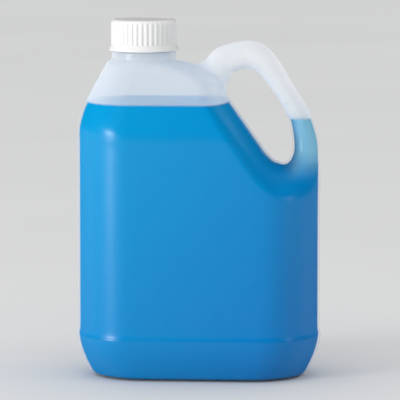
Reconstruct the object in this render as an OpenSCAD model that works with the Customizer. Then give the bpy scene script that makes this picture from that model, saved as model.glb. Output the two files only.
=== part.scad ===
// Two litre blow-moulded jug for liquid cleaner, with a through handle and a ribbed screw cap.
// Units are millimetres. X is the width, Y the depth, Z is up, and the body stands on Z = 0.

/* [Body] */
// Width of the body across the roll above the foot
body_w = 153.4; // [145:0.1:165]
// Depth of the body from front to back
body_d = 90; // [82:0.5:98]
// Thickness of the blown wall
wall = 1.2; // [0.9:0.1:1.6]
// Plan radius of the body's upright corners
corner_r = 35; // [28:0.5:40]
// Height of the roll above the foot
roll_z = 27; // [22:0.5:32]
// How far the foot stands in from the roll
foot_in = 11; // [8:0.5:14]
// Width of the ring that the jug stands on
foot_w = 3; // [2:0.5:5]
// How high the middle of the base is pushed up
push_up = 3; // [1.5:0.5:5]
// How far the label panel is set in from the roll
panel_in = 0.6; // [0.3:0.1:1]
// Height of the label panel's upper edge
panel_top = 149; // [144:0.5:152]

/* [Shoulder] */
// Height at which the sides start to turn in
shoulder_z = 146; // [138:0.5:150]
// Radius of that turn seen from the front
shoulder_r = 60; // [45:1:75]
// Radius of that turn seen from the side
shoulder_side_r = 40; // [30:1:50]
// Height of the ledge at the foot of the neck
ledge_z = 197.5; // [192:0.5:204]
// Width of that ledge outside the collar
ledge_w = 2.6; // [1.5:0.1:4]

/* [Handle] */
// Height of the handle's highest point
handle_top = 209.9; // [205:0.1:218]
// Thickness of the handle's upper run, seen from the front
grip_h = 17.4; // [15:0.1:20]
// Thickness of the handle where it slants
slant_h = 12.8; // [11:0.1:16]
// Thickness of the handle's upright leg, seen from the front
leg_w = 17.4; // [15:0.1:20]
// Depth of the handle, front to back
handle_d = 21; // [17:0.5:26]
// Depth of the leg's foot, where it spreads into the body
leg_foot_d = 44; // [36:1:50]
// Height of the floor of the finger opening
hole_z = 132.6; // [126:0.1:140]
// Width of the finger opening at its floor
hole_w = 11.4; // [10:0.1:15]
// Height at which the body's slanting edge turns up into the shoulder
hole_turn_z = 176; // [170:0.5:182]
// Lean of the body's edge beside the finger opening, from upright
hole_lean = 34.6; // [30:0.1:38]
// Size of the round corner between the opening's floor and that edge
hole_corner = 3; // [2:0.5:6]
// Width of the rounded edge beside the finger opening
hole_edge = 14; // [10:0.5:18]
// Height of the rounded edge under the finger opening
hole_sill = 17; // [12:0.5:22]
// Sharpness of the ridge round that edge, as a share of the body's depth
hole_ridge = 0.06; // [0:0.01:0.1]

/* [Neck] */
// Distance of the neck's axis from the middle of the body
neck_x = -34.4; // [-40:0.1:-28]
// Radius of the collar under the cap
collar_r = 20; // [19:0.1:21]
// Height of the collar
collar_h = 6; // [4:0.5:8]
// Radius of the threaded finish between its threads
finish_r = 17.35; // [16.8:0.05:18]
// Height of the finish above the collar
finish_h = 17.5; // [15:0.5:20]
// Radius of the pouring bore
bore_r = 15.8; // [14.5:0.1:16]
// Rise of the thread in one turn
pitch = 4.2; // [3.8:0.1:4.6]
// Height of the thread's ridge above its root
thread_d = 1.2; // [0.8:0.05:1.4]
// Turns of thread on the neck
neck_turns = 1.75; // [1.25:0.25:2.25]

/* [Cap] */
// Height of the cap
cap_h = 19.6; // [18:0.1:22]
// Outer radius over the cap's ribs
cap_r = 20.5; // [20.2:0.1:21.5]
// How far the ribs stand out
rib_d = 0.55; // [0.3:0.05:0.7]
// Number of ribs round the cap
ribs = 40; // [24:1:60]
// Height of the plain band at the cap's foot
band_h = 3.8; // [2.5:0.1:5]
// How far the band spreads beyond the ribs
band_out = 1.4; // [0.6:0.1:2]
// Radius of the cap's upper edge
cap_edge_r = 1.6; // [1:0.1:2.4]
// Thickness of the cap's top
cap_top_t = 1.6; // [1.2:0.1:2.2]
// Turns of thread in the cap
cap_turns = 1.25; // [1:0.25:1.75]
// Thickness of the sealing liner
liner_t = 1; // [0.6:0.1:1.5]

/* [Liquid] */
// Height of the cleaner's surface in the body
fill_z = 172.5; // [165:0.5:182]
// Height of the cleaner's surface in the handle's leg
leg_fill_z = 162; // [155:0.5:164]

/* [Clearances] */
// Radial gap between the neck and the cap's threads
thread_gap = 0.35; // [0.3:0.05:0.5]
// Gap between the liner's edge and the cap's wall
liner_gap = 0.35; // [0.3:0.05:0.6]
// Gap between the cleaner and the wall that holds it
liquid_gap = 0.05; // [0.05:0.05:0.2]

/* [Hidden] */

// Points along half an outline of the body: its left part, its middle and its right end
LEFT_STEPS = 10;
MIDDLE_STEPS = 8;
RIGHT_STEPS = 5;
// Points round the handle, and degrees in a step of thread
TUBE_STEPS = 20;
THREAD_STEP = 12;

half_w = body_w / 2;
half_d = body_d / 2;
ledge_r = collar_r + ledge_w;
foot_curve = 1.5;
saddle_curve = 3;
panel_ramp = 6;
blunt = 0.01;

leg_out = half_w - panel_in - 0.2;
hole_right = leg_out - leg_w;
hole_left = hole_right - hole_w;

shoulder_turn = turn_angle(half_w + neck_x - ledge_r, ledge_z - shoulder_z, shoulder_r);
side_turn = turn_angle(half_d - ledge_r, ledge_z - shoulder_z, shoulder_side_r);

collar_z = ledge_z + collar_h;
lip_z = collar_z + finish_h;
thread_r = finish_r + thread_d;
thread_bite = 0.4;
neck_thread_z = lip_z - 4.5 - pitch * neck_turns;
cap_thread_z = neck_thread_z - pitch / 2 + 0.15;

cap_root_r = cap_r - rib_d;
cap_in_r = thread_r + thread_gap;
cap_top_z = lip_z + liner_t + cap_top_t;
cap_foot_z = cap_top_z - cap_h;

// Angle of the straight slope that follows a round turn of radius r, so that the two together
// come in by the given amount over the given rise
function turn_angle(inward, rise, r) =
    let (side = r - inward) atan2(rise, side) - acos(r / norm([side, rise]));

// How far that turn and slope have come in at a height above their start
function turn_in(rise, r, angle) =
    rise <= 0 ? 0
    : rise < r * sin(angle) ? r - sqrt(r * r - rise * rise)
    : r * (1 - cos(angle)) + (rise - r * sin(angle)) * tan(angle);

// Rise of a quarter ellipse, from 0 at its end to 1 at its full height
function quarter(u) = u >= 1 ? 1 : u <= 0 ? 0 : sqrt(1 - (1 - u) * (1 - u));

function mix(a, b, t) = a + (b - a) * t;

// Smooth curve through a list of points, at t from 0 to the last point's index
function curve(p, t) =
    let (
        last = len(p) - 1,
        i = min(floor(t), last - 1),
        f = t - i,
        a = p[max(i - 1, 0)],
        b = p[i],
        c = p[i + 1],
        d = p[min(i + 2, last)]
    )
    b + (f / 2) * ((c - a) + f * ((2 * a - 5 * b + 4 * c - d) + f * (3 * b - 3 * c + d - a)));

// How far the foot, the label panel and the shoulder bring the outline in at a height
function foot_and_panel(z) =
    z < roll_z ? foot_in * pow(1 - max(z, 0) / roll_z, foot_curve)
    : panel_in * min(1, (z - roll_z) / panel_ramp, max(0, (panel_top + 1.5 - z) / 1.5));
function width_in(z) =
    max(foot_and_panel(z), turn_in(z - shoulder_z, shoulder_r, shoulder_turn));
function depth_in(z) =
    max(foot_and_panel(z), turn_in(z - shoulder_z, shoulder_side_r, side_turn));

// The body's edge beside the finger opening: a round corner at its floor, a straight slant,
// then a curve up to the neck
function slant_x(z) = hole_left - (z - hole_z) * tan(hole_lean);
function corner_out(z) = hole_corner * exp(-pow((z - hole_z) / (hole_corner * 0.7), 2));
function saddle(z) = pow(max(0, z - hole_turn_z) / (ledge_z - hole_turn_z), saddle_curve);
function edge_x(z) =
    mix(slant_x(min(z, hole_turn_z)) + corner_out(z), neck_x + ledge_r, saddle(z));
function edge_r(z) = mix(hole_edge, ledge_r, saddle(z));

// Plan radius of the corners on the left
function shoulder_share(z) = min(1, max(0, (z - shoulder_z) / (ledge_z - shoulder_z)));
function left_r(z) = mix(corner_r, ledge_r, shoulder_share(z));

// Share of the depth at a distance from the opening, with a ridge where the edge starts
function recess(u, z) = quarter(u) * (1 - hole_ridge * (1 - saddle(z)) * max(0, 1 - u));

// Half the body's depth at a point of its front view. The extra inset is for the foot, and
// the skin is how far inside the outer surface the point lies
function half_depth(x, z, inset, skin) =
    let (
        side = half_w - width_in(z) - inset - skin,
        beside = max(0, (edge_x(z) - skin - x) / (edge_r(z) - skin)),
        below = max(0, (hole_z - skin - z) / (hole_sill - skin))
    )
    (half_d - depth_in(z) - inset - skin)
    * quarter((x + side) / (left_r(z) - skin - inset / 2))
    * quarter((side - x) / (corner_r - skin - inset / 2))
    * recess(norm([beside, below, blunt]), z);

// Front half of one level outline, from its left end to its right end. Above the floor of the
// finger opening the right end is the blunt edge beside it, and below it is the body's side
function front_half(z, inset, skin, above) =
    let (
        side = half_w - width_in(z) - inset - skin,
        edge = edge_x(above ? z : hole_z - skin) - skin,
        nose = half_depth(edge, z, inset, skin)
    )
    [
        for (i = [0:LEFT_STEPS - 1])
            let (x = mix(neck_x, -side, cos(90 * i / LEFT_STEPS)))
            [x, -half_depth(x, z, inset, skin), z],
        for (i = [0:MIDDLE_STEPS])
            let (x = mix(neck_x, edge, sin(90 * i / MIDDLE_STEPS)))
            [x, -half_depth(x, z, inset, skin), z],
        for (i = [1:RIGHT_STEPS])
            let (t = i / RIGHT_STEPS, x = mix(edge, side, sin(90 * t)))
            above ? [edge, -nose * (1 - t), z] : [x, -half_depth(x, z, inset, skin), z]
    ];

// One level outline of the body, as points round it
function body_ring(z, inset, skin, above) =
    let (front = front_half(z, inset, skin, above), last = len(front) - 1)
    concat(front, [for (i = [last - 1:-1:1]) [front[i][0], -front[i][1], z]]);

// An outline of the underside, which stands in from the roll by the given amount
function foot_ring(z, inward, skin) = body_ring(z, inward - foot_and_panel(z), skin, false);

// Heights of the outlines, from the foot to the opening's floor and from there to the ledge
function lower_levels(skin) = [
    for (t = [0.08, 0.2, 0.36, 0.54, 0.75, 1]) roll_z * t + skin * (1 - t),
    roll_z + panel_ramp,
    for (t = [1.25, 1, 0.75, 0.52, 0.33, 0.18, 0.07, 0.02, 0]) hole_z - skin - (hole_sill - skin) * t
];
function upper_levels(skin) = [
    hole_z - skin,
    for (t = [0.3, 0.8, 1.6]) hole_z + hole_corner * t,
    panel_top,
    panel_top + 1.5,
    for (t = [0.2, 0.4, 0.6, 0.8, 1]) mix(panel_top + 1.5, hole_turn_z, t),
    for (t = [0.22, 0.42, 0.58, 0.7, 0.8, 0.88, 0.94, 0.98, 1])
        mix(hole_turn_z, ledge_z - skin, t)
];

// The body as a solid, its surface lying the given distance inside the outer one
module body_form(skin) {
    skin_over(concat(
        [
            foot_ring(push_up + skin, foot_in + foot_w + push_up - skin / 2, skin),
            foot_ring(skin, foot_in + foot_w - skin / 3, skin),
            foot_ring(skin, foot_in + skin / 3, skin)
        ],
        [for (z = lower_levels(skin)) body_ring(z, 0, skin, false)],
        [for (z = upper_levels(skin)) body_ring(z, 0, skin, true)]
    ));
}

// The handle's middle line, as [x, z, half its width seen from the front, half its depth]
handle_line = [
    [hole_left - 47.2, ledge_z - 14.5, grip_h * 0.575, handle_d * 0.6],
    [hole_left - 36.2, ledge_z - 6.3, grip_h * 0.557, handle_d * 0.58],
    [hole_left - 31.1, handle_top - 12.3, grip_h * 0.523, handle_d * 0.53],
    [hole_left - 20.2, handle_top - grip_h / 2, grip_h / 2, handle_d / 2],
    [hole_left - 11.7, handle_top - grip_h / 2 - 0.5, grip_h / 2, handle_d / 2],
    [hole_left - 3.5, mix(handle_top, hole_z, 0.2), mix(grip_h, slant_h, 0.5) / 2, handle_d * 0.49],
    [mix(hole_left, leg_out, 0.26), mix(handle_top, hole_z, 0.41), slant_h / 2, handle_d * 0.48],
    [
        mix(hole_left, leg_out, 0.54), mix(handle_top, hole_z, 0.595),
        mix(slant_h, leg_w, 0.25) / 2, handle_d * 0.48
    ],
    [leg_out - leg_w / 2 - 0.6, hole_z + 17, leg_w * 0.465, handle_d * 0.5],
    [leg_out - leg_w / 2, hole_z + 8, leg_w / 2, handle_d * 0.57],
    [leg_out - leg_w / 2 - 0.9, hole_z + 2, leg_w * 0.55, handle_d * 0.68],
    [leg_out - leg_w / 2 - 2.8, hole_z - 5, leg_w * 0.64, leg_foot_d * 0.42],
    [leg_out - leg_w / 2 - 5, hole_z - 15, leg_w * 0.66, leg_foot_d / 2],
    [leg_out - leg_w / 2 - 6.5, hole_z - 24, leg_w * 0.62, leg_foot_d / 2]
];

// One outline across the handle, at t along its middle line
function handle_ring(t, skin) =
    let (
        p = curve(handle_line, t),
        ahead = curve(handle_line, min(t + 0.05, len(handle_line) - 1)),
        back = curve(handle_line, max(t - 0.05, 0)),
        run = [ahead[0] - back[0], ahead[1] - back[1]],
        across = [run[1], -run[0]] / norm(run)
    )
    [
        for (i = [0:TUBE_STEPS - 1])
            let (a = 360 * i / TUBE_STEPS, w = (p[2] - skin) * cos(a))
            [p[0] + across[0] * w, (p[3] - skin) * sin(a), p[1] + across[1] * w]
    ];

// The handle as a solid, its surface lying the given distance inside the outer one
module handle_form(skin) {
    skin_over([
        for (t = [0:0.5:len(handle_line) - 1]) handle_ring(t, skin)
    ]);
}

// Closed surface over a row of outlines that all have the same number of points. Where two
// outlines share points, the faces between them that have no area are left out
module skin_over(rings) {
    n = len(rings[0]);
    last = len(rings) - 1;
    points = [for (ring = rings) each ring];
    polyhedron(
        points = points,
        faces = concat(
            [[for (i = [0:n - 1]) i]],
            [
                for (k = [0:last - 1], i = [0:n - 1])
                    let (a = k * n + i, b = k * n + (i + 1) % n)
                    for (face = [[a, a + n, b], [b, a + n, b + n]])
                        let (
                            one = points[face[1]] - points[face[0]],
                            two = points[face[2]] - points[face[0]]
                        )
                        if (norm(cross(one, two)) > 0) face
            ],
            [[for (i = [n - 1:-1:0]) last * n + i]]
        )
    );
}

// A helical ridge from its root radius to its crest radius, run out at both ends. It winds up
// from the given height, and the ridge is rooted a little way into the wall that carries it
module thread(root, crest, z, turns) {
    steps = round(turns * 360 / THREAD_STEP);
    buried = root + sign(root - crest) * thread_bite;
    skin_over([
        for (i = [0:steps])
            let (
                a = i * THREAD_STEP,
                rise = z + pitch * i * THREAD_STEP / 360,
                full = min(1, i / 2.5 + 0.05, (steps - i) / 2.5 + 0.05),
                tip = mix(root, crest, full),
                wide = pitch * 0.27,
                slim = pitch * 0.13,
                shape = sign(crest - root) > 0
                    ? [[buried, wide], [tip, slim], [tip, -slim], [buried, -wide]]
                    : [[buried, -wide], [tip, -slim], [tip, slim], [buried, wide]]
            )
            [for (p = shape) [p[0] * cos(a), p[0] * sin(a), rise + p[1]]]
    ]);
}

// Solid of the neck: collar, finish with a bead at its foot and a rounded lip
module neck_form() {
    rotate_extrude($fn = 96)
        polygon([
            [0, ledge_z - 2.5],
            [collar_r, ledge_z - 2.5],
            [collar_r, collar_z - 0.5],
            [collar_r - 0.5, collar_z],
            [finish_r + 0.6, collar_z],
            [finish_r, collar_z + 0.6],
            [finish_r, lip_z - 0.5],
            [finish_r - 0.5, lip_z],
            [0, lip_z]
        ]);
}

// Space inside the neck: a wide part in the collar that closes in to the pouring bore
module neck_bore() {
    wide_r = collar_r - wall - 0.4;
    rotate_extrude($fn = 96)
        polygon([
            [0, ledge_z - 6],
            [wide_r, ledge_z - 6],
            [wide_r, collar_z - 3.4],
            [bore_r, collar_z - 0.9],
            [bore_r, lip_z + 1],
            [0, lip_z + 1]
        ]);
}

// The blown jug, one hollow piece with its handle, collar and threaded finish
module bottle() {
    color([0.90, 0.93, 0.95])
        difference() {
            union() {
                body_form(0);
                handle_form(0);
                translate([neck_x, 0, 0]) {
                    neck_form();
                    rotate([0, 0, 180])
                        thread(finish_r, thread_r, neck_thread_z, neck_turns);
                }
            }
            body_form(wall);
            handle_form(wall);
            translate([neck_x, 0, 0]) neck_bore();
        }
}

// The blue cleaner: the hollow of the jug up to its two levels
module cleaner() {
    skin = wall + liquid_gap;
    color([0.02, 0.50, 0.78])
        difference() {
            union() {
                body_form(skin);
                handle_form(skin);
            }
            translate([-half_w, -half_d, fill_z])
                cube([body_w, body_d, handle_top - fill_z]);
            translate([mix(slant_x(fill_z), hole_left, 0.7), -half_d, leg_fill_z])
                cube([half_w, body_d, handle_top - leg_fill_z]);
        }
}

// Foam disc in the cap, pressed on the neck's lip
module cap_liner() {
    color([0.93, 0.93, 0.90])
        translate([neck_x, 0, lip_z])
            cylinder(r = cap_in_r - liner_gap, h = liner_t, $fn = 96);
}

// Plan of the ribbed wall: round ribs with a narrow root between them
module rib_plan() {
    pitch_a = 360 / ribs;
    polygon([
        for (i = [0:ribs - 1], k = [[-0.5, 0], [-0.34, 0.35], [-0.15, 0.9], [0.15, 0.9], [0.34, 0.35]])
            let (a = (i + k[0]) * pitch_a, r = cap_root_r + rib_d * k[1] / 0.9)
            [r * cos(a), r * sin(a)]
    ]);
}

// The screw cap: ribbed wall, plain band at its foot, rounded top, thread inside
module cap() {
    rib_foot_z = cap_foot_z + band_h;
    color([0.95, 0.95, 0.94])
        translate([neck_x, 0, 0]) {
            difference() {
                union() {
                    intersection() {
                        translate([0, 0, rib_foot_z - 1])
                            linear_extrude(height = cap_top_z - rib_foot_z + 1) rib_plan();
                        cap_envelope();
                    }
                    cap_band();
                }
                translate([0, 0, cap_foot_z - 1])
                    cylinder(r = cap_in_r, h = cap_top_z - cap_top_t - cap_foot_z + 1, $fn = 96);
            }
            rotate([0, 0, 180])
                thread(cap_in_r, finish_r + thread_gap, cap_thread_z, cap_turns);
        }
}

// Turned outline that rounds the cap's upper edge
module cap_envelope() {
    rotate_extrude($fn = 96)
        polygon([
            [0, cap_foot_z],
            [cap_r, cap_foot_z],
            for (a = [0:15:90])
                [cap_r - cap_edge_r * (1 - cos(a)), cap_top_z - cap_edge_r * (1 - sin(a))],
            [0, cap_top_z]
        ]);
}

// Plain band that spreads out at the cap's foot, with a soft lower edge
module cap_band() {
    rotate_extrude($fn = 96)
        polygon([
            [cap_in_r - 0.3, cap_foot_z],
            [cap_r + band_out - 0.4, cap_foot_z],
            [cap_r + band_out, cap_foot_z + 0.5],
            [cap_r + band_out * 0.45, cap_foot_z + band_h * 0.55],
            [cap_r + 0.1, cap_foot_z + band_h],
            [cap_root_r - 0.3, cap_foot_z + band_h + 0.4],
            [cap_in_r - 0.3, cap_foot_z + band_h + 0.4]
        ]);
}

bottle();
cleaner();
cap_liner();
cap();
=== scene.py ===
import math

import bmesh
import bpy
import numpy as np
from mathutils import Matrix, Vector


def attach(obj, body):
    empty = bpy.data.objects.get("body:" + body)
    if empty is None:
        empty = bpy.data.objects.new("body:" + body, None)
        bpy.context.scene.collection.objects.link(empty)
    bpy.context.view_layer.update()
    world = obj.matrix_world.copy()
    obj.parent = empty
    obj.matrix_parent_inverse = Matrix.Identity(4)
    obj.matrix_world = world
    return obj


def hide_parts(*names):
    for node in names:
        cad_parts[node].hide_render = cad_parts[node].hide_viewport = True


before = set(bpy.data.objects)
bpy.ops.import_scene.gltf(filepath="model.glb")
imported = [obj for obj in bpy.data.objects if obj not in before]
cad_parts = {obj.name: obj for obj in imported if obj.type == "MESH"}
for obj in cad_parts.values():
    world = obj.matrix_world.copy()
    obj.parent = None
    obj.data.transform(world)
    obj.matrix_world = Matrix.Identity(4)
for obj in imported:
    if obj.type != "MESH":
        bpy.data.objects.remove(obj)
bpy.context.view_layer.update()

# The jug: one blown shell of natural polyethylene with its body, a hollow handle round an open
# hole, a collar and a threaded finish. A soft tube was pinched between two mould halves and blown
# out, so the wall is even. Lengths are millimetres until the mesh is made.
HALF_WIDTH = 76.7
HALF_DEPTH = 45.0
WALL = 1.2
UPRIGHT_CORNER = 35.0

# The foot comes in under the roll, stands on a ring and is pushed up inside it
ROLL_HEIGHT = 27.0
FOOT_IN = 9.5
FOOT_CURVE = 1.7
FOOT_RING = 3.0
FOOT_ROUND = 3.0
PUSH_UP = 3.0
PUSH_UP_SLOPE = 5.0

# The flat panels are sunk from a crisp bead over the roll up to the shoulder
BEAD = 1.6
PANEL_IN = 0.6
PANEL_TOP = 149.0
PANEL_EDGE = 1.5

# The shoulder turns in on a round and then slopes to the ledge under the collar
SHOULDER_START = 146.0
SHOULDER_ROUND = 60.0
SHOULDER_ROUND_IN_DEPTH = 40.0
LEDGE_HEIGHT = 197.5
LEDGE_RADIUS = 22.6
LEDGE_ROUND = 1.6
NECK_X = -34.4
COLLAR_RADIUS = 20.0
COLLAR_ROUND = 0.8

# The recess behind the handle: a sill at the floor of the hole and a slanting edge beside it
OPENING_FLOOR = 132.6
OPENING_LEFT = 47.1
OPENING_TURN = 176.0
OPENING_LEAN = math.radians(34.6)
OPENING_EDGE = 14.0
OPENING_SILL = 18.3
OPENING_RIDGE = 0.06
OPENING_CORNER = 4.0
CORNER_FILL = 0.14
HANDLE_ROUND = 4.0

# Middle line of the handle, from the shoulder over the hand to the leg's foot. Each row is x, z,
# half the width seen from the front, half the depth.
HANDLE_LINE = np.array([
    (-0.1, 183.0, 10.0, 12.6), (10.9, 191.2, 9.7, 12.2), (16.0, 197.6, 9.1, 11.1),
    (26.9, 201.2, 8.7, 10.5), (35.4, 200.7, 8.7, 10.5), (43.6, 194.4, 7.55, 10.3),
    (54.6, 178.2, 6.4, 10.1), (62.7, 163.9, 7.0, 10.1), (66.6, 149.6, 8.1, 10.5),
    (67.2, 140.6, 8.7, 12.0), (66.3, 134.6, 9.6, 14.3), (64.4, 127.6, 11.1, 18.5),
    (62.2, 117.6, 11.5, 22.0), (60.7, 108.6, 10.8, 22.0),
])


def turn_then_slope(inward, rise, radius):
    """Angle of the straight slope after a round turn that brings a wall in by so much."""
    side = radius - inward
    return math.atan2(rise, side) - math.acos(radius / math.hypot(side, rise))


def come_in(rise, radius, angle):
    """How far that turn and slope have come in at a height above their start."""
    rise = np.maximum(rise, 0)
    on_turn = radius - np.sqrt(np.maximum(radius**2 - rise**2, 0))
    on_slope = radius * (1 - math.cos(angle)) + (rise - radius * math.sin(angle)) * math.tan(angle)
    return np.where(rise < radius * math.sin(angle), on_turn, on_slope)


shoulder_rise = LEDGE_HEIGHT - SHOULDER_START
width_turn = turn_then_slope(HALF_WIDTH + NECK_X - LEDGE_RADIUS, shoulder_rise, SHOULDER_ROUND)
depth_turn = turn_then_slope(HALF_DEPTH - LEDGE_RADIUS, shoulder_rise, SHOULDER_ROUND_IN_DEPTH)


def foot_and_panel(z):
    """How far the wall stands in at a height, at the foot and along the panels."""
    foot = FOOT_IN * np.clip(1 - z / ROLL_HEIGHT, 0, 1) ** FOOT_CURVE
    above_roll = 1 - np.exp(-np.maximum(z - ROLL_HEIGHT, 0) / BEAD)
    panel = PANEL_IN * above_roll
    return foot + panel * np.clip((PANEL_TOP + PANEL_EDGE - z) / PANEL_EDGE, 0, 1)


def smooth_both(a, b, k):
    """The smaller of two distances, with a round of size k where they meet."""
    share = np.clip(0.5 + 0.5 * (b - a) / k, 0, 1)
    return b * (1 - share) + a * share - k * share * (1 - share)


def body_form(x, y, z, with_opening=True):
    """Below 0 inside the body, above 0 outside it.

    The plan at each height is a flat front with elliptical corners, and a, b and c say how far
    a point lies into the left corner, the right corner and the recess behind the handle.
    """
    level = np.clip(z, 0, LEDGE_HEIGHT)
    rise = level - SHOULDER_START
    lower_in = foot_and_panel(level)
    side = HALF_WIDTH - np.maximum(lower_in, come_in(rise, SHOULDER_ROUND, width_turn))
    depth = HALF_DEPTH - np.maximum(lower_in, come_in(rise, SHOULDER_ROUND_IN_DEPTH, depth_turn))
    up = np.clip(rise / shoulder_rise, 0, 1)
    left_corner = UPRIGHT_CORNER + (LEDGE_RADIUS - UPRIGHT_CORNER) * up
    saddle = (np.maximum(level - OPENING_TURN, 0) / (LEDGE_HEIGHT - OPENING_TURN)) ** 3
    above_floor = np.minimum(level, OPENING_TURN) - OPENING_FLOOR
    slant = OPENING_LEFT - above_floor * math.tan(OPENING_LEAN)
    edge = slant + (NECK_X + LEDGE_RADIUS - slant) * saddle
    edge_round = OPENING_EDGE + (LEDGE_RADIUS - OPENING_EDGE) * saddle
    a = np.maximum(0, 1 - (x + side) / left_corner)
    b = np.maximum(0, 1 - (side - x) / UPRIGHT_CORNER)
    beside = (edge - x) / edge_round
    below = (OPENING_FLOOR - z) / OPENING_SILL
    near = np.hypot(np.maximum(beside, 0), np.maximum(below, 0))
    c = np.where((beside < 0) & (below < 0), 1 + np.minimum(-beside, -below), 1 - near)
    from_corner = np.hypot(x - OPENING_LEFT, z - OPENING_FLOOR) / OPENING_CORNER
    c = np.maximum(0, c - CORNER_FILL * np.exp(-0.5 * from_corner**2)) * with_opening
    ridge = 1 - OPENING_RIDGE * (1 - saddle) * np.clip(c, 0, 1)
    shares = np.stack([1 - a**2, 1 - b**2, 1 - c**2])
    least = shares.min(0)
    return (y / depth) ** 2 - np.where(least < 0, least, shares.prod(0) * ridge**2)


def smooth_line(points, per_step):
    """Points on a smooth curve through the given ones."""
    padded = np.vstack([points[:1], points, points[-1:]])
    made = []
    for a, b, c, d in zip(padded, padded[1:], padded[2:], padded[3:]):
        for f in np.arange(per_step) / per_step:
            made.append(b + f / 2 * ((c - a) + f * ((2 * a - 5 * b + 4 * c - d)
                                                    + f * (3 * b - 3 * c + d - a))))
    return np.array(made + [points[-1]])


handle_path = smooth_line(HANDLE_LINE, 6)


def handle_out(x, y, z):
    """Distance outside the handle's oval section, or inside it below 0."""
    shape = np.broadcast(x, y, z).shape
    px, pz = (np.broadcast_to(v, shape).ravel() for v in (x, z))
    best = np.full(px.shape, 1e9)
    wide, deep = np.ones(px.shape), np.ones(px.shape)
    for p, q in zip(handle_path, handle_path[1:]):
        run = q[:2] - p[:2]
        t = np.clip(((px - p[0]) * run[0] + (pz - p[1]) * run[1]) / (run @ run), 0, 1)
        gap = (px - p[0] - t * run[0]) ** 2 + (pz - p[1] - t * run[1]) ** 2
        closer = gap < best
        best = np.where(closer, gap, best)
        wide = np.where(closer, p[2] + t * (q[2] - p[2]), wide)
        deep = np.where(closer, p[3] + t * (q[3] - p[3]), deep)
    u, v = np.sqrt(best).reshape(shape), np.broadcast_to(y, shape)
    wide, deep = wide.reshape(shape), deep.reshape(shape)
    oval = np.sqrt((u / wide) ** 2 + (v / deep) ** 2)
    steep = np.sqrt(u**2 / wide**4 + v**2 / deep**4) / np.maximum(oval, 1e-6)
    return (oval - 1) / np.maximum(steep, 1e-3)


FAR = 12


def body_out(x, y, z, with_opening=True):
    """Distance outside the body, from its form and how steeply that grows."""
    tiny = 0.05
    slope = [
        (body_form(x + dx, y + dy, z + dz, with_opening)
         - body_form(x - dx, y - dy, z - dz, with_opening)) / (2 * tiny)
        for dx, dy, dz in ((tiny, 0, 0), (0, tiny, 0), (0, 0, tiny))
    ]
    steep = np.sqrt(sum(s**2 for s in slope))
    return np.clip(body_form(x, y, z, with_opening) / np.maximum(steep, 1e-4), -FAR, FAR)


def jug_out(x, y, z):
    """Distance outside the whole blown form, below its collar."""
    foot_in = -body_out(x, y, 0 * z + 0.1, False) - FOOT_RING
    step = np.clip(foot_in / PUSH_UP_SLOPE, 0, 1)
    pushed = PUSH_UP * step**2 * (3 - 2 * step)
    body = -smooth_both(-body_out(x, y, z), -(pushed - z), FOOT_ROUND)
    body = -smooth_both(-body, -(z - LEDGE_HEIGHT), LEDGE_ROUND)
    jug = smooth_both(body, np.clip(handle_out(x, y, z), -FAR, FAR), HANDLE_ROUND)
    side = body_out(x, y, np.minimum(z, SHOULDER_START), False)
    jug = -smooth_both(-jug, -side, 0.6)
    collar = np.maximum(np.hypot(x - NECK_X, y) - COLLAR_RADIUS, (LEDGE_HEIGHT - 6) - z)
    return smooth_both(jug, collar, COLLAR_ROUND)


def skin_of(field, levels):
    """Vertices and four-sided faces of the surface where a sampled field passes through 0."""
    inside = field < 0
    cells = tuple(n - 1 for n in field.shape)
    whole = [slice(0, n) for n in cells]
    total, count = np.zeros(cells + (3,)), np.zeros(cells)
    for axis in range(3):
        one = [slice(None)] * 3
        two = [slice(None)] * 3
        one[axis], two[axis] = slice(0, -1), slice(1, None)
        f0, f1 = field[tuple(one)], field[tuple(two)]
        cross = (f0 < 0) != (f1 < 0)
        t = np.where(cross, f0 / np.where(cross, f0 - f1, 1), 0)
        others = [a for a in range(3) if a != axis]
        for i in (0, 1):
            for j in (0, 1):
                cut = list(whole)
                cut[others[0]] = slice(i, cells[others[0]] + i)
                cut[others[1]] = slice(j, cells[others[1]] + j)
                hit = cross[tuple(cut)]
                place = np.zeros(cells + (3,))
                place[..., axis] = t[tuple(cut)]
                place[..., others[0]], place[..., others[1]] = i, j
                total += place * hit[..., None]
                count += hit
    used = count > 0
    number = np.full(cells, -1)
    number[used] = np.arange(used.sum())
    where = np.argwhere(used) + total[used] / count[used][:, None]
    faces = []
    for axis in range(3):
        b, c = (axis + 1) % 3, (axis + 2) % 3
        one = [slice(1, -1)] * 3
        two = [slice(1, -1)] * 3
        one[axis], two[axis] = slice(0, -1), slice(1, None)
        f0, f1 = inside[tuple(one)], inside[tuple(two)]
        base = np.argwhere(f0 != f1)
        out = f0[f0 != f1]
        base[:, b] += 1
        base[:, c] += 1
        ring = []
        for db, dc in ((-1, -1), (0, -1), (0, 0), (-1, 0)):
            at = base.copy()
            at[:, b] += db
            at[:, c] += dc
            ring.append(number[at[:, 0], at[:, 1], at[:, 2]])
        ring = np.stack(ring, 1)
        faces.append(np.where(out[:, None], ring, ring[:, ::-1]))
    points = [np.interp(where[:, a], np.arange(len(levels[a])), levels[a]) for a in range(3)]
    return np.stack(points, 1), np.concatenate(faces)


def out_and_way(points):
    """Distance outside the jug at each point, and the unit direction in which it grows."""
    p, tiny = points.T, 0.08
    way = np.stack([
        jug_out(*(p + s[:, None])) - jug_out(*(p - s[:, None])) for s in np.eye(3) * tiny
    ], 1) / (2 * tiny)
    size = np.maximum(np.linalg.norm(way, axis=1), 1e-6)
    return jug_out(*p) / size, way / size[:, None]


GRID = 1.8
MARGIN = 5.0


def even_levels(start, end, close=()):
    """Sampling places a grid step apart, and a third of a step apart in the ranges named close."""
    made = [start]
    while made[-1] < end:
        fine = any(a < made[-1] < b for a, b in close)
        made.append(made[-1] + GRID * (1 / 3 if fine else 1))
    return np.array(made)


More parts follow.
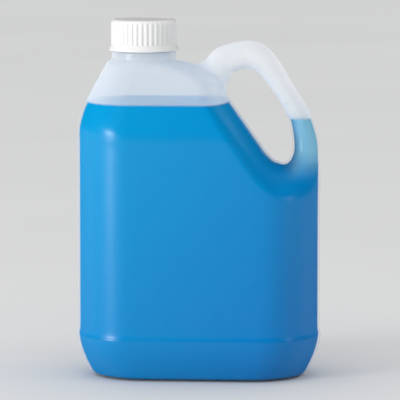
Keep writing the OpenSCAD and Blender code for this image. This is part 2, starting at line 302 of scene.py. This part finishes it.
COLLAR_CUT = 200.4
bead_and_panel_top = ((ROLL_HEIGHT - 3, ROLL_HEIGHT + 4), (PANEL_TOP - 2, PANEL_TOP + 3))
gx = even_levels(-HALF_WIDTH - MARGIN, HALF_WIDTH + MARGIN)
gy = even_levels(-HALF_DEPTH - MARGIN, HALF_DEPTH + MARGIN)
gz = even_levels(-MARGIN, 214.0, bead_and_panel_top)
sampled = jug_out(gx[:, None, None], gy[None, :, None], gz[None, None, :])
skin_points, skin_faces = skin_of(sampled, (gx, gy, gz))

# The skin stops in the collar, where the turned part of the neck takes over
by_neck = np.hypot(skin_points[:, 0] - NECK_X, skin_points[:, 1]) < COLLAR_RADIUS + 4
above = by_neck & (skin_points[:, 2] > COLLAR_CUT)
skin_faces = skin_faces[~above[skin_faces].any(1)]
kept = np.unique(skin_faces)
renumber = np.full(len(skin_points), -1)
renumber[kept] = np.arange(len(kept))
skin_points, skin_faces = skin_points[kept], renumber[skin_faces]

edges = np.sort(np.stack([skin_faces, np.roll(skin_faces, -1, 1)], 2).reshape(-1, 2), 1)
edges, uses = np.unique(edges, axis=0, return_counts=True)
rim = np.unique(edges[uses == 1])
rim = rim[np.argsort(np.arctan2(skin_points[rim, 1], skin_points[rim, 0] - NECK_X))]


def hold_rim(points):
    """The same points with the collar's open rim set back on its circle."""
    angle = np.arctan2(points[rim, 1], points[rim, 0] - NECK_X)
    points[rim] = np.stack([NECK_X + COLLAR_RADIUS * np.cos(angle),
                            COLLAR_RADIUS * np.sin(angle), np.full(len(rim), COLLAR_CUT)], 1)
    return points


# The skin is eased towards even spacing and then drawn back on to the form, a few times over
neighbours = np.zeros(len(skin_points))
np.add.at(neighbours, edges.ravel(), 1)
fine_band = ((np.abs(skin_points[:, 2] - ROLL_HEIGHT - 0.5) < 5)
             | (np.abs(skin_points[:, 2] - PANEL_TOP - 0.5) < 3.5))
ease = np.where(fine_band, 0.1, 0.6)[:, None]
for _ in range(4):
    drawn = np.zeros_like(skin_points)
    np.add.at(drawn, edges[:, 0], skin_points[edges[:, 1]])
    np.add.at(drawn, edges[:, 1], skin_points[edges[:, 0]])
    skin_points = (1 - ease) * skin_points + ease * drawn / neighbours[:, None]
    for _ in range(2):
        out, way = out_and_way(skin_points)
        skin_points = skin_points - np.clip(out, -1.5, 1.5)[:, None] * way
    skin_points = hold_rim(skin_points)
skin_way = out_and_way(skin_points)[1]
from_neck = skin_points[rim] - (NECK_X, 0, COLLAR_CUT)
skin_way[rim] = from_neck * (1, 1, 0) / COLLAR_RADIUS

# The turned part: collar, bead, thread, lip and the bore down to the inside of the collar.
# Each row is a height and a radius; the thread is a ridge that winds round the finish.
COLLAR_TOP = 203.5
LIP = 221.0
FINISH_RADIUS = 17.35
BORE_RADIUS = 15.8
THREAD_HIGH = 1.2
PITCH = 4.2
TURNS = 1.75
THREAD_START = LIP - 4.5 - PITCH * TURNS
rim_angle = np.arctan2(skin_points[rim, 1], skin_points[rim, 0] - NECK_X)


def thread_ridge(z, angle):
    """How far the thread stands out of the finish at a height and an angle round the neck."""
    tallest = np.zeros_like(angle)
    for turn in range(3):
        wound = (angle + math.pi) / (2 * math.pi) + turn
        run_in = np.clip(np.minimum(wound, TURNS - wound) * 14, 0, 1)
        off = np.abs(z - THREAD_START - PITCH * wound) / PITCH
        ridge = THREAD_HIGH * np.clip((0.27 - off) / 0.14, 0, 1) * run_in
        tallest = np.maximum(tallest, ridge * (wound <= TURNS))
    return tallest


outer_profile = [(201.6, 20.0), (202.7, 20.0), (203.1, 19.9), (203.4, 19.6), (COLLAR_TOP, 19.2),
                 (COLLAR_TOP, 18.2), (203.6, 17.7), (204.1, FINISH_RADIUS)]
outer_profile += [(z, FINISH_RADIUS) for z in np.arange(204.5, LIP - 0.6, 0.35)]
outer_profile += [(LIP - 0.4, FINISH_RADIUS), (LIP - 0.15, 17.25), (LIP, 17.0)]
inner_profile = [(LIP, 16.3), (LIP - 0.15, 15.95), (LIP - 0.5, BORE_RADIUS), (215.0, BORE_RADIUS),
                 (209.0, BORE_RADIUS), (202.6, BORE_RADIUS), (202.2, 16.0), (201.2, 17.2),
                 (200.7, 18.2)]
rings = []
for z, r in outer_profile + inner_profile:
    reach = r + (thread_ridge(z, rim_angle) if r == FINISH_RADIUS else 0)
    rings.append(np.stack([NECK_X + reach * np.cos(rim_angle), reach * np.sin(rim_angle),
                           np.full(len(rim), z)], 1))

count = len(skin_points)
shell_points = np.vstack([skin_points, skin_points - WALL * skin_way] + rings)
shell_faces = [tuple(f) for f in skin_faces] + [tuple(f[::-1] + count) for f in skin_faces]
rows = [2 * count + len(rim) * k + np.arange(len(rim)) for k in range(len(rings))]
rows = [rim] + rows + [rim + count]
for lower, upper in zip(rows, rows[1:]):
    for i in range(len(rim)):
        j = (i + 1) % len(rim)
        shell_faces.append((lower[i], lower[j], upper[j], upper[i]))


def object_from(name, points, faces, material):
    """A Blender object from points in millimetres."""
    mesh = bpy.data.meshes.new(name)
    mesh.from_pydata((np.asarray(points) / 1000).tolist(), [], [tuple(map(int, f)) for f in faces])
    mesh.validate()
    for face in mesh.polygons:
        face.use_smooth = True
    mesh.materials.append(material)
    made = bpy.data.objects.new(name, mesh)
    bpy.context.scene.collection.objects.link(made)
    return made


def new_material(name):
    """A material with its shader nodes cleared, and short ways to add and join nodes."""
    material = bpy.data.materials.new(name)
    material.use_nodes = True
    tree = material.node_tree
    tree.nodes.clear()
    output = tree.nodes.new("ShaderNodeOutputMaterial")

    def add(kind, **values):
        node = tree.nodes.new("ShaderNode" + kind)
        for key, value in values.items():
            if hasattr(node, key):
                setattr(node, key, value)
            else:
                node.inputs[key.replace("_", " ")].default_value = value
        return node

    return material, add, tree.links.new, output


# Natural polyethylene: milky and see-through where air is behind it. Where the cleaner wets the
# wall, the wall lets its colour through and only the satin gloss and the edges show.
MILK = (0.95, 0.955, 0.96, 1)
CLEAR_WALL = (0.985, 0.99, 0.995, 1)
WATERLINE = 172.5
LEG_WATERLINE = 162.0
LEG_FROM = 40.0
plastic, add, join, output = new_material("natural_polyethylene")
place = add("TexCoord")
split = add("SeparateXYZ")
join(place.outputs["Object"], split.inputs[0])
in_leg = add("Math", operation="GREATER_THAN")
join(split.outputs["X"], in_leg.inputs[0])
in_leg.inputs[1].default_value = LEG_FROM / 1000
level = add("Math", operation="MULTIPLY_ADD")
join(in_leg.outputs[0], level.inputs[0])
level.inputs[1].default_value = (LEG_WATERLINE - WATERLINE) / 1000
level.inputs[2].default_value = WATERLINE / 1000
dry_height = add("Math", operation="SUBTRACT")
join(split.outputs["Z"], dry_height.inputs[0])
join(level.outputs[0], dry_height.inputs[1])
dryness = add("MapRange", interpolation_type="SMOOTHSTEP")
join(dry_height.outputs[0], dryness.inputs["Value"])
dryness.inputs["From Min"].default_value = -0.0008
dryness.inputs["From Max"].default_value = 0.0008
milky = add("Mix")
join(dryness.outputs[0], milky.inputs[0])

# Milkiness wetted and dry: how edge-on the wall has to be before it grows, seen flat, seen edge-on
HAZE_WET = (0.84, 0.0, 0.70)
HAZE_DRY = (0.10, 0.36, 0.78)
edge_on = add("LayerWeight", Blend=0.5)
for socket, (grows_from, seen_flat, seen_edge_on) in ((2, HAZE_WET), (3, HAZE_DRY)):
    share = add("MapRange")
    join(edge_on.outputs["Facing"], share.inputs["Value"])
    share.inputs["From Min"].default_value = grows_from
    share.inputs["To Min"].default_value = seen_flat
    share.inputs["To Max"].default_value = seen_edge_on
    join(share.outputs[0], milky.inputs[socket])
grain = add("TexNoise", Scale=900.0, Detail=3.0, Roughness=0.6)
join(place.outputs["Object"], grain.inputs["Vector"])
waves = add("TexNoise", Scale=38.0, Detail=2.0, Roughness=0.5)
join(place.outputs["Object"], waves.inputs["Vector"])
satin = add("Bump", Strength=0.06, Distance=0.0004)
join(grain.outputs["Fac"], satin.inputs["Height"])
uneven = add("Bump", Strength=0.10, Distance=0.002)
join(waves.outputs["Fac"], uneven.inputs["Height"])
join(satin.outputs[0], uneven.inputs["Normal"])
clear = add("BsdfTransparent", Color=CLEAR_WALL)
front_lit = add("BsdfDiffuse", Color=MILK)
back_lit = add("BsdfTranslucent", Color=MILK)
haze = add("MixShader", Fac=0.5)
join(front_lit.outputs[0], haze.inputs[1])
join(back_lit.outputs[0], haze.inputs[2])
wall_look = add("MixShader")
join(milky.outputs[0], wall_look.inputs[0])
join(clear.outputs[0], wall_look.inputs[1])
join(haze.outputs[0], wall_look.inputs[2])

# The satin gloss, on the outside of the wall only
shine = add("BsdfGlossy", Color=(1, 1, 1, 1), Roughness=0.31)
join(uneven.outputs[0], shine.inputs["Normal"])
mirror = add("Fresnel", IOR=1.38)
join(uneven.outputs[0], mirror.inputs["Normal"])
softened = add("Math", operation="MINIMUM")
join(mirror.outputs[0], softened.inputs[0])
softened.inputs[1].default_value = 0.05
face = add("NewGeometry")
from_air = add("Math", operation="SUBTRACT")
from_air.inputs[0].default_value = 1.0
join(face.outputs["Backfacing"], from_air.inputs[1])
outside_only = add("Math", operation="MULTIPLY")
join(softened.outputs[0], outside_only.inputs[0])
join(from_air.outputs[0], outside_only.inputs[1])
glossed = add("MixShader")
join(outside_only.outputs[0], glossed.inputs[0])
join(wall_look.outputs[0], glossed.inputs[1])
join(shine.outputs[0], glossed.inputs[2])
join(glossed.outputs[0], output.inputs["Surface"])

jug = object_from("jug_shell", shell_points, shell_faces, plastic)
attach(jug, "bottle")
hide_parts("bottle")

# The cleaner: clear blue liquid that fills the jug to the shoulder and stands a little lower in
# the handle's leg. It lies against the inside of the wall and climbs it slightly at the waterline.
GAP = 0.05
CLIMB = 0.7
CLIMB_WIDTH = 1.6

liquid_points = skin_points - (WALL + GAP) * skin_way
liquid = bmesh.new()
made = [liquid.verts.new(p) for p in liquid_points]
for f in skin_faces:
    liquid.faces.new([made[i] for i in f])
for height, in_leg_part in ((LEG_WATERLINE, True), (WATERLINE, False)):
    part = [f for f in liquid.faces
            if (f.calc_center_median().x > LEG_FROM) == in_leg_part or not in_leg_part]
    geometry = {e for f in part for e in (*f.verts, *f.edges, f)}
    bmesh.ops.bisect_plane(liquid, geom=list(geometry), dist=1e-5, plane_co=(0, 0, height),
                           plane_no=(0, 0, 1))
    gone = [f for f in liquid.faces
            if f.calc_center_median().z > height
            and (f.calc_center_median().x > LEG_FROM or not in_leg_part)]
    bmesh.ops.delete(liquid, geom=gone, context="FACES")
    open_edges = [e for e in liquid.edges
                  if e.is_boundary and all(abs(v.co.z - height) < 1e-3 for v in e.verts)]
    top = bmesh.ops.contextual_create(liquid, geom=open_edges)["faces"]
    for f in top:
        f.material_index = 1
    inner = bmesh.ops.inset_region(
        liquid, faces=top, thickness=CLIMB_WIDTH, depth=-CLIMB)["faces"]
    for f in inner:
        f.material_index = 1
bmesh.ops.delete(liquid, geom=[v for v in liquid.verts if not v.link_faces], context="VERTS")
bmesh.ops.recalc_face_normals(liquid, faces=liquid.faces)
bmesh.ops.triangulate(liquid, faces=[f for f in liquid.faces if len(f.verts) > 4])
for v in liquid.verts:
    v.co = v.co / 1000
liquid_mesh = bpy.data.meshes.new("cleaner_fill")
liquid.to_mesh(liquid_mesh)
liquid.free()
for face in liquid_mesh.polygons:
    face.use_smooth = face.material_index == 0


def blue_liquid(name, roughness, specular, light, deep, thin):
    """The cleaner's colour, with painted light and shade: lighter towards the upper left where the
    lamps stand, deeper away from them, and pale in the handle's leg, where the liquid is only a
    finger thick."""
    material, add, join, output = new_material(name)
    place = add("TexCoord")
    # Painted light and shade: the colour grows lighter along this slant towards the lamps at the
    # upper left
    along = add("VectorMath", operation="DOT_PRODUCT")
    join(place.outputs["Object"], along.inputs[0])
    along.inputs[1].default_value = (-3.2, -1.5, 2.6)
    drift = add("TexNoise", Scale=9.0, Detail=1.0, Roughness=0.4)
    join(place.outputs["Object"], drift.inputs["Vector"])
    shifted = add("Math", operation="MULTIPLY_ADD")
    join(drift.outputs["Fac"], shifted.inputs[0])
    shifted.inputs[1].default_value = 0.12
    join(along.outputs["Value"], shifted.inputs[2])
    shade = add("ValToRGB")
    shade.color_ramp.elements[0].position = 0.0
    shade.color_ramp.elements[0].color = (*deep, 1)
    shade.color_ramp.elements[1].position = 0.75
    shade.color_ramp.elements[1].color = (*light, 1)
    join(shifted.outputs[0], shade.inputs[0])
    split = add("SeparateXYZ")
    join(place.outputs["Object"], split.inputs[0])
    in_leg = add("MapRange", interpolation_type="SMOOTHSTEP")
    join(split.outputs["X"], in_leg.inputs["Value"])
    in_leg.inputs["From Min"].default_value = 0.052
    in_leg.inputs["From Max"].default_value = 0.062
    up_leg = add("MapRange", interpolation_type="SMOOTHSTEP")
    join(split.outputs["Z"], up_leg.inputs["Value"])
    up_leg.inputs["From Min"].default_value = 0.123
    up_leg.inputs["From Max"].default_value = 0.144
    thinness = add("Math", operation="MULTIPLY")
    join(in_leg.outputs[0], thinness.inputs[0])
    join(up_leg.outputs[0], thinness.inputs[1])
    paled = add("Mix", data_type="RGBA")
    join(thinness.outputs[0], paled.inputs[0])
    join(shade.outputs["Color"], paled.inputs[6])
    paled.inputs[7].default_value = (*thin, 1)
    body = add("BsdfPrincipled", Roughness=roughness, IOR=1.34)
    body.inputs["Specular IOR Level"].default_value = specular
    join(paled.outputs[2], body.inputs["Base Color"])
    join(body.outputs[0], output.inputs["Surface"])
    return material


# Painted light and shade on the cleaner: lit blue towards the lamps, shaded blue away from them; the
# thin blue is the liquid's own paler colour in the leg
PAINTED_LIT_BLUE, PAINTED_SHADED_BLUE, THIN_BLUE = (0.0, 0.28, 0.57), (0.0, 0.17, 0.47), (0.20, 0.47, 0.64)
# The liquid's top takes a lighter copy of the blue, which is painted light on the upward face, with
# the same painted light and shade across it
TOP_PAINTED_LIT, TOP_PAINTED_SHADED, TOP_THIN = (0.0, 0.34, 0.68), (0.0, 0.31, 0.64), (0.12, 0.40, 0.60)
for liquid_look in (("cleaner_blue", 0.6, 0.0, PAINTED_LIT_BLUE, PAINTED_SHADED_BLUE, THIN_BLUE),
                    ("cleaner_surface", 0.15, 0.0, TOP_PAINTED_LIT, TOP_PAINTED_SHADED, TOP_THIN)):
    liquid_mesh.materials.append(blue_liquid(*liquid_look))
cleaner = bpy.data.objects.new("cleaner_fill", liquid_mesh)
bpy.context.scene.collection.objects.link(cleaner)
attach(cleaner, "bottle")
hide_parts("cleaner")

# The liner: a punched disc of white foam that seals the lip. It is hidden in the cap, so the
# plain disc stays and only gets its fine closed cells.
foam, add, join, output = new_material("liner_foam")
place = add("TexCoord")
cells = add("TexVoronoi", Scale=2200.0)
join(place.outputs["Object"], cells.inputs["Vector"])
tone = add("MapRange")
join(cells.outputs["Distance"], tone.inputs["Value"])
tone.inputs["To Min"].default_value = 0.80
tone.inputs["To Max"].default_value = 0.92
white = add("CombineColor")
for channel in ("Red", "Green", "Blue"):
    join(tone.outputs[0], white.inputs[channel])
dimple = add("Bump", Strength=0.3, Distance=0.0002)
join(cells.outputs["Distance"], dimple.inputs["Height"])
soft = add("BsdfPrincipled", Roughness=0.85)
join(white.outputs[0], soft.inputs["Base Color"])
join(dimple.outputs[0], soft.inputs["Normal"])
join(soft.outputs[0], output.inputs["Surface"])
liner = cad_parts["cap_liner"]
liner.data.materials.clear()
liner.data.materials.append(foam)

# The cap: injection-moulded white polypropylene with forty round ribs for grip, a smooth rounded
# top, a plain flared band at the foot and a thread inside, by which it screws on to the finish.
CAP_FOOT = 204.0
CAP_TOP = 223.6
CAP_RADIUS = 20.5
CAP_BORE = 18.9
CAP_ROOF = 222.0
CAP_THREAD = THREAD_START - PITCH / 2 + 0.15
CAP_TURNS = 1.25
THREAD_PLAY = 0.35
RIBS = 40
RIB_HIGH = 0.55
PER_RIB = 12
cap_angle = 2 * math.pi * np.arange(RIBS * PER_RIB) / (RIBS * PER_RIB)
rib_wave = np.clip(0.5 + 0.75 * np.cos(cap_angle * RIBS), 0, 1)
rib_wave = rib_wave * rib_wave * (3 - 2 * rib_wave)

# Rows up the outside of the cap: height, radius over the ribs, and the share of the ribs' depth
# that shows there. The band flares below the ribs, and the top is a shallow dish with a round rim.
band = ((0, -1.2), (0, 0.4), (0.05, 1.0), (0.25, 1.3), (0.6, 1.4), (1.0, 1.28), (1.6, 0.95),
        (2.2, 0.65), (2.9, 0.35), (3.5, 0.12), (3.8, 0.0))
rib_feet = ((4.0, 0.35), (4.3, 0.8), (4.7, 1))
rib_heads = ((3.0, 0, 0.95), (2.3, 0.02, 0.75), (1.8, 0.1, 0.45), (1.4, 0.25, 0.2), (1.0, 0.5, 0.05))
rim_and_dish = ((0.6, 0.9), (0.3, 1.4), (0.1, 2.0), (0, 2.7), (0, 3.5), (0.05, 3.7), (0.2, 3.9),
                (0.25, 4.2), (0.25, 8.5), (0.25, 14.5), (0.25, 19.5))
cap_rows = [(CAP_FOOT + up, CAP_RADIUS + out, 0) for up, out in band]
cap_rows += [(CAP_FOOT + up, CAP_RADIUS, share) for up, share in rib_feet]
cap_rows += [(z, CAP_RADIUS, 1) for z in (210.0, 212.0, 214.0, 216.0, 218.0, 219.6)]
cap_rows += [(CAP_TOP - down, CAP_RADIUS - inward, share) for down, inward, share in rib_heads]
cap_rows += [(CAP_TOP - down, CAP_RADIUS - inward, 0) for down, inward in rim_and_dish]

# Rows up its inside: a 2 in the last place stands for the thread
THREADED = 2
inside_rows = [(CAP_FOOT + up, CAP_BORE, 0) for up in (0, 0.6, 2.0)]
inside_rows += [(z, CAP_BORE, THREADED) for z in np.arange(206.4, 219.0, 0.4)]
inside_rows += [(221.4, CAP_BORE, 0)]
inside_rows += [(CAP_ROOF, r, 0) for r in (18.3, 9.0, 1.0)]


def cap_thread(z):
    """How far the cap's thread stands in from its wall."""
    tallest = np.zeros_like(cap_angle)
    for turn in range(3):
        wound = ((cap_angle + math.pi) % (2 * math.pi)) / (2 * math.pi) + turn
        run_in = np.clip(np.minimum(wound, CAP_TURNS - wound) * 14, 0, 1)
        off = np.abs(z - CAP_THREAD - PITCH * wound) / PITCH
        ridge = np.clip((0.27 - off) / 0.14, 0, 1) * run_in
        tallest = np.maximum(tallest, ridge * (wound <= CAP_TURNS))
    return tallest * (CAP_BORE - FINISH_RADIUS - THREAD_PLAY)


def cap_ring(z, r, ribbed):
    """One ring of points round the cap."""
    if ribbed == THREADED:
        reach = r - cap_thread(z)
    else:
        reach = r - RIB_HIGH * ribbed * (1 - rib_wave)
    return np.stack([NECK_X + reach * np.cos(cap_angle), reach * np.sin(cap_angle),
                     np.full(len(cap_angle), z)], 1)


cap_points, cap_faces = [], []
around = len(cap_angle)
for rows, outward in ((cap_rows, True), (inside_rows, False)):
    start = sum(len(p) for p in cap_points)
    cap_points += [cap_ring(*row) for row in rows]
    for k in range(len(rows) - 1):
        for i in range(around):
            j = (i + 1) % around
            a, b = start + k * around + i, start + k * around + j
            quad = (a, b, b + around, a + around)
            cap_faces.append(quad if outward else quad[::-1])
    last = start + (len(rows) - 1) * around
    lid = tuple(last + i for i in range(around))
    cap_faces.append(lid if outward else lid[::-1])
under = len(cap_rows) * around
for i in range(around):
    j = (i + 1) % around
    cap_faces.append((i, under + i, under + j, j))

CAP_WHITE = (0.73, 0.73, 0.725, 1)
CAP_CLOUD = (0.69, 0.69, 0.685, 1)
polypropylene, add, join, output = new_material("white_polypropylene")
place = add("TexCoord")
cloud = add("TexNoise", Scale=60.0, Detail=2.0, Roughness=0.5)
join(place.outputs["Object"], cloud.inputs["Vector"])
whites = add("ValToRGB")
whites.color_ramp.elements[0].position = 0.3
whites.color_ramp.elements[0].color = CAP_CLOUD
whites.color_ramp.elements[1].position = 0.7
whites.color_ramp.elements[1].color = CAP_WHITE
join(cloud.outputs["Fac"], whites.inputs[0])
fine = add("TexNoise", Scale=1400.0, Detail=2.0, Roughness=0.6)
join(place.outputs["Object"], fine.inputs["Vector"])
skin_bump = add("Bump", Strength=0.05, Distance=0.0003)
join(fine.outputs["Fac"], skin_bump.inputs["Height"])
moulded = add("BsdfPrincipled", Roughness=0.38, IOR=1.49)
moulded.inputs["Subsurface Weight"].default_value = 0.15
moulded.inputs["Subsurface Radius"].default_value = (0.002, 0.002, 0.002)
moulded.inputs["Subsurface Scale"].default_value = 1.0
join(whites.outputs["Color"], moulded.inputs["Base Color"])
join(skin_bump.outputs[0], moulded.inputs["Normal"])
join(moulded.outputs[0], output.inputs["Surface"])

cap = object_from("screw_cap", np.vstack(cap_points), cap_faces, polypropylene)
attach(cap, "cap")
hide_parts("cap")

# The table, the light and the camera: a plain pale table top that runs on past the picture, an
# even room, one soft light low on the left, a faint one above and one on the right, and the
# camera a little above the cap and to the right.
FLOOR_REACH = 15000.0
TABLE_GREY = (0.655, 0.655, 0.655, 1)
TABLE_PALE = (0.67, 0.67, 0.67, 1)
floor_points = FLOOR_REACH * np.array([(-1.0, -1, 0), (1, -1, 0), (1, 1, 0), (-1, 1, 0)])
floor_faces = [(0, 1, 2, 3)]
paper, add, join, output = new_material("pale_table")
place = add("TexCoord")
mottle = add("TexNoise", Scale=3.0, Detail=2.0)
join(place.outputs["Object"], mottle.inputs["Vector"])
greys = add("ValToRGB")
greys.color_ramp.elements[0].position = 0.35
greys.color_ramp.elements[0].color = TABLE_GREY
greys.color_ramp.elements[1].position = 0.65
greys.color_ramp.elements[1].color = TABLE_PALE
join(mottle.outputs["Fac"], greys.inputs[0])
matt = add("BsdfDiffuse")
join(greys.outputs["Color"], matt.inputs["Color"])
join(matt.outputs[0], output.inputs["Surface"])
table = object_from("table_top", floor_points, floor_faces, paper)

ROOM_LIGHT = 0.96
ROOM_IN_GLOSS = 0.04
world = bpy.data.worlds.new("studio")
world.use_nodes = True
nodes, join = world.node_tree.nodes, world.node_tree.links.new
room = nodes["Background"]
room.inputs["Color"].default_value = (0.99, 0.995, 1.0, 1)
kind = nodes.new("ShaderNodeLightPath")
dimmer = nodes.new("ShaderNodeMapRange")
join(kind.outputs["Is Glossy Ray"], dimmer.inputs["Value"])
dimmer.inputs["To Min"].default_value = ROOM_LIGHT
dimmer.inputs["To Max"].default_value = ROOM_IN_GLOSS
join(dimmer.outputs[0], room.inputs["Strength"])
bpy.context.scene.world = world


MIDDLE = 0.11


def soft_light(name, place, wide, high, watts):
    """An oblong soft light that faces the jug."""
    data = bpy.data.lights.new(name, "AREA")
    data.shape, data.size, data.size_y, data.energy = "RECTANGLE", wide, high, watts
    lamp = bpy.data.objects.new(name, data)
    lamp.location = place
    way = Vector((0, 0, MIDDLE)) - Vector(place)
    lamp.rotation_euler = way.to_track_quat("-Z", "Y").to_euler()
    bpy.context.scene.collection.objects.link(lamp)


soft_light("strip", (-1.75, -1.45, 0.42), 0.72, 0.62, 30)
soft_light("overhead", (-0.9, -1.5, 1.9), 1.2, 0.9, 1)
soft_light("edge", (1.9, -0.7, 0.5), 0.3, 0.8, 3)

AIM = Vector((0.00075, 0, MIDDLE))
DISTANCE = 2.5
FIELD = 0.2508
turn = math.radians(4.0)
tilt = math.radians(6.7)
level_way = Vector((math.sin(turn), -math.cos(turn), 0))
back = level_way * math.cos(tilt) + Vector((0, 0, math.sin(tilt)))
camera_data = bpy.data.cameras.new("camera")
camera_data.sensor_width = 36.0
camera_data.lens = 36.0 * DISTANCE / FIELD
camera_data.clip_end = 50.0
camera = bpy.data.objects.new("camera", camera_data)
camera.location = AIM + back * DISTANCE
camera.rotation_euler = (-back).to_track_quat("-Z", "Y").to_euler()
bpy.context.scene.collection.objects.link(camera)
bpy.context.scene.camera = camera
bpy.context.scene.view_settings.view_transform = "Standard"
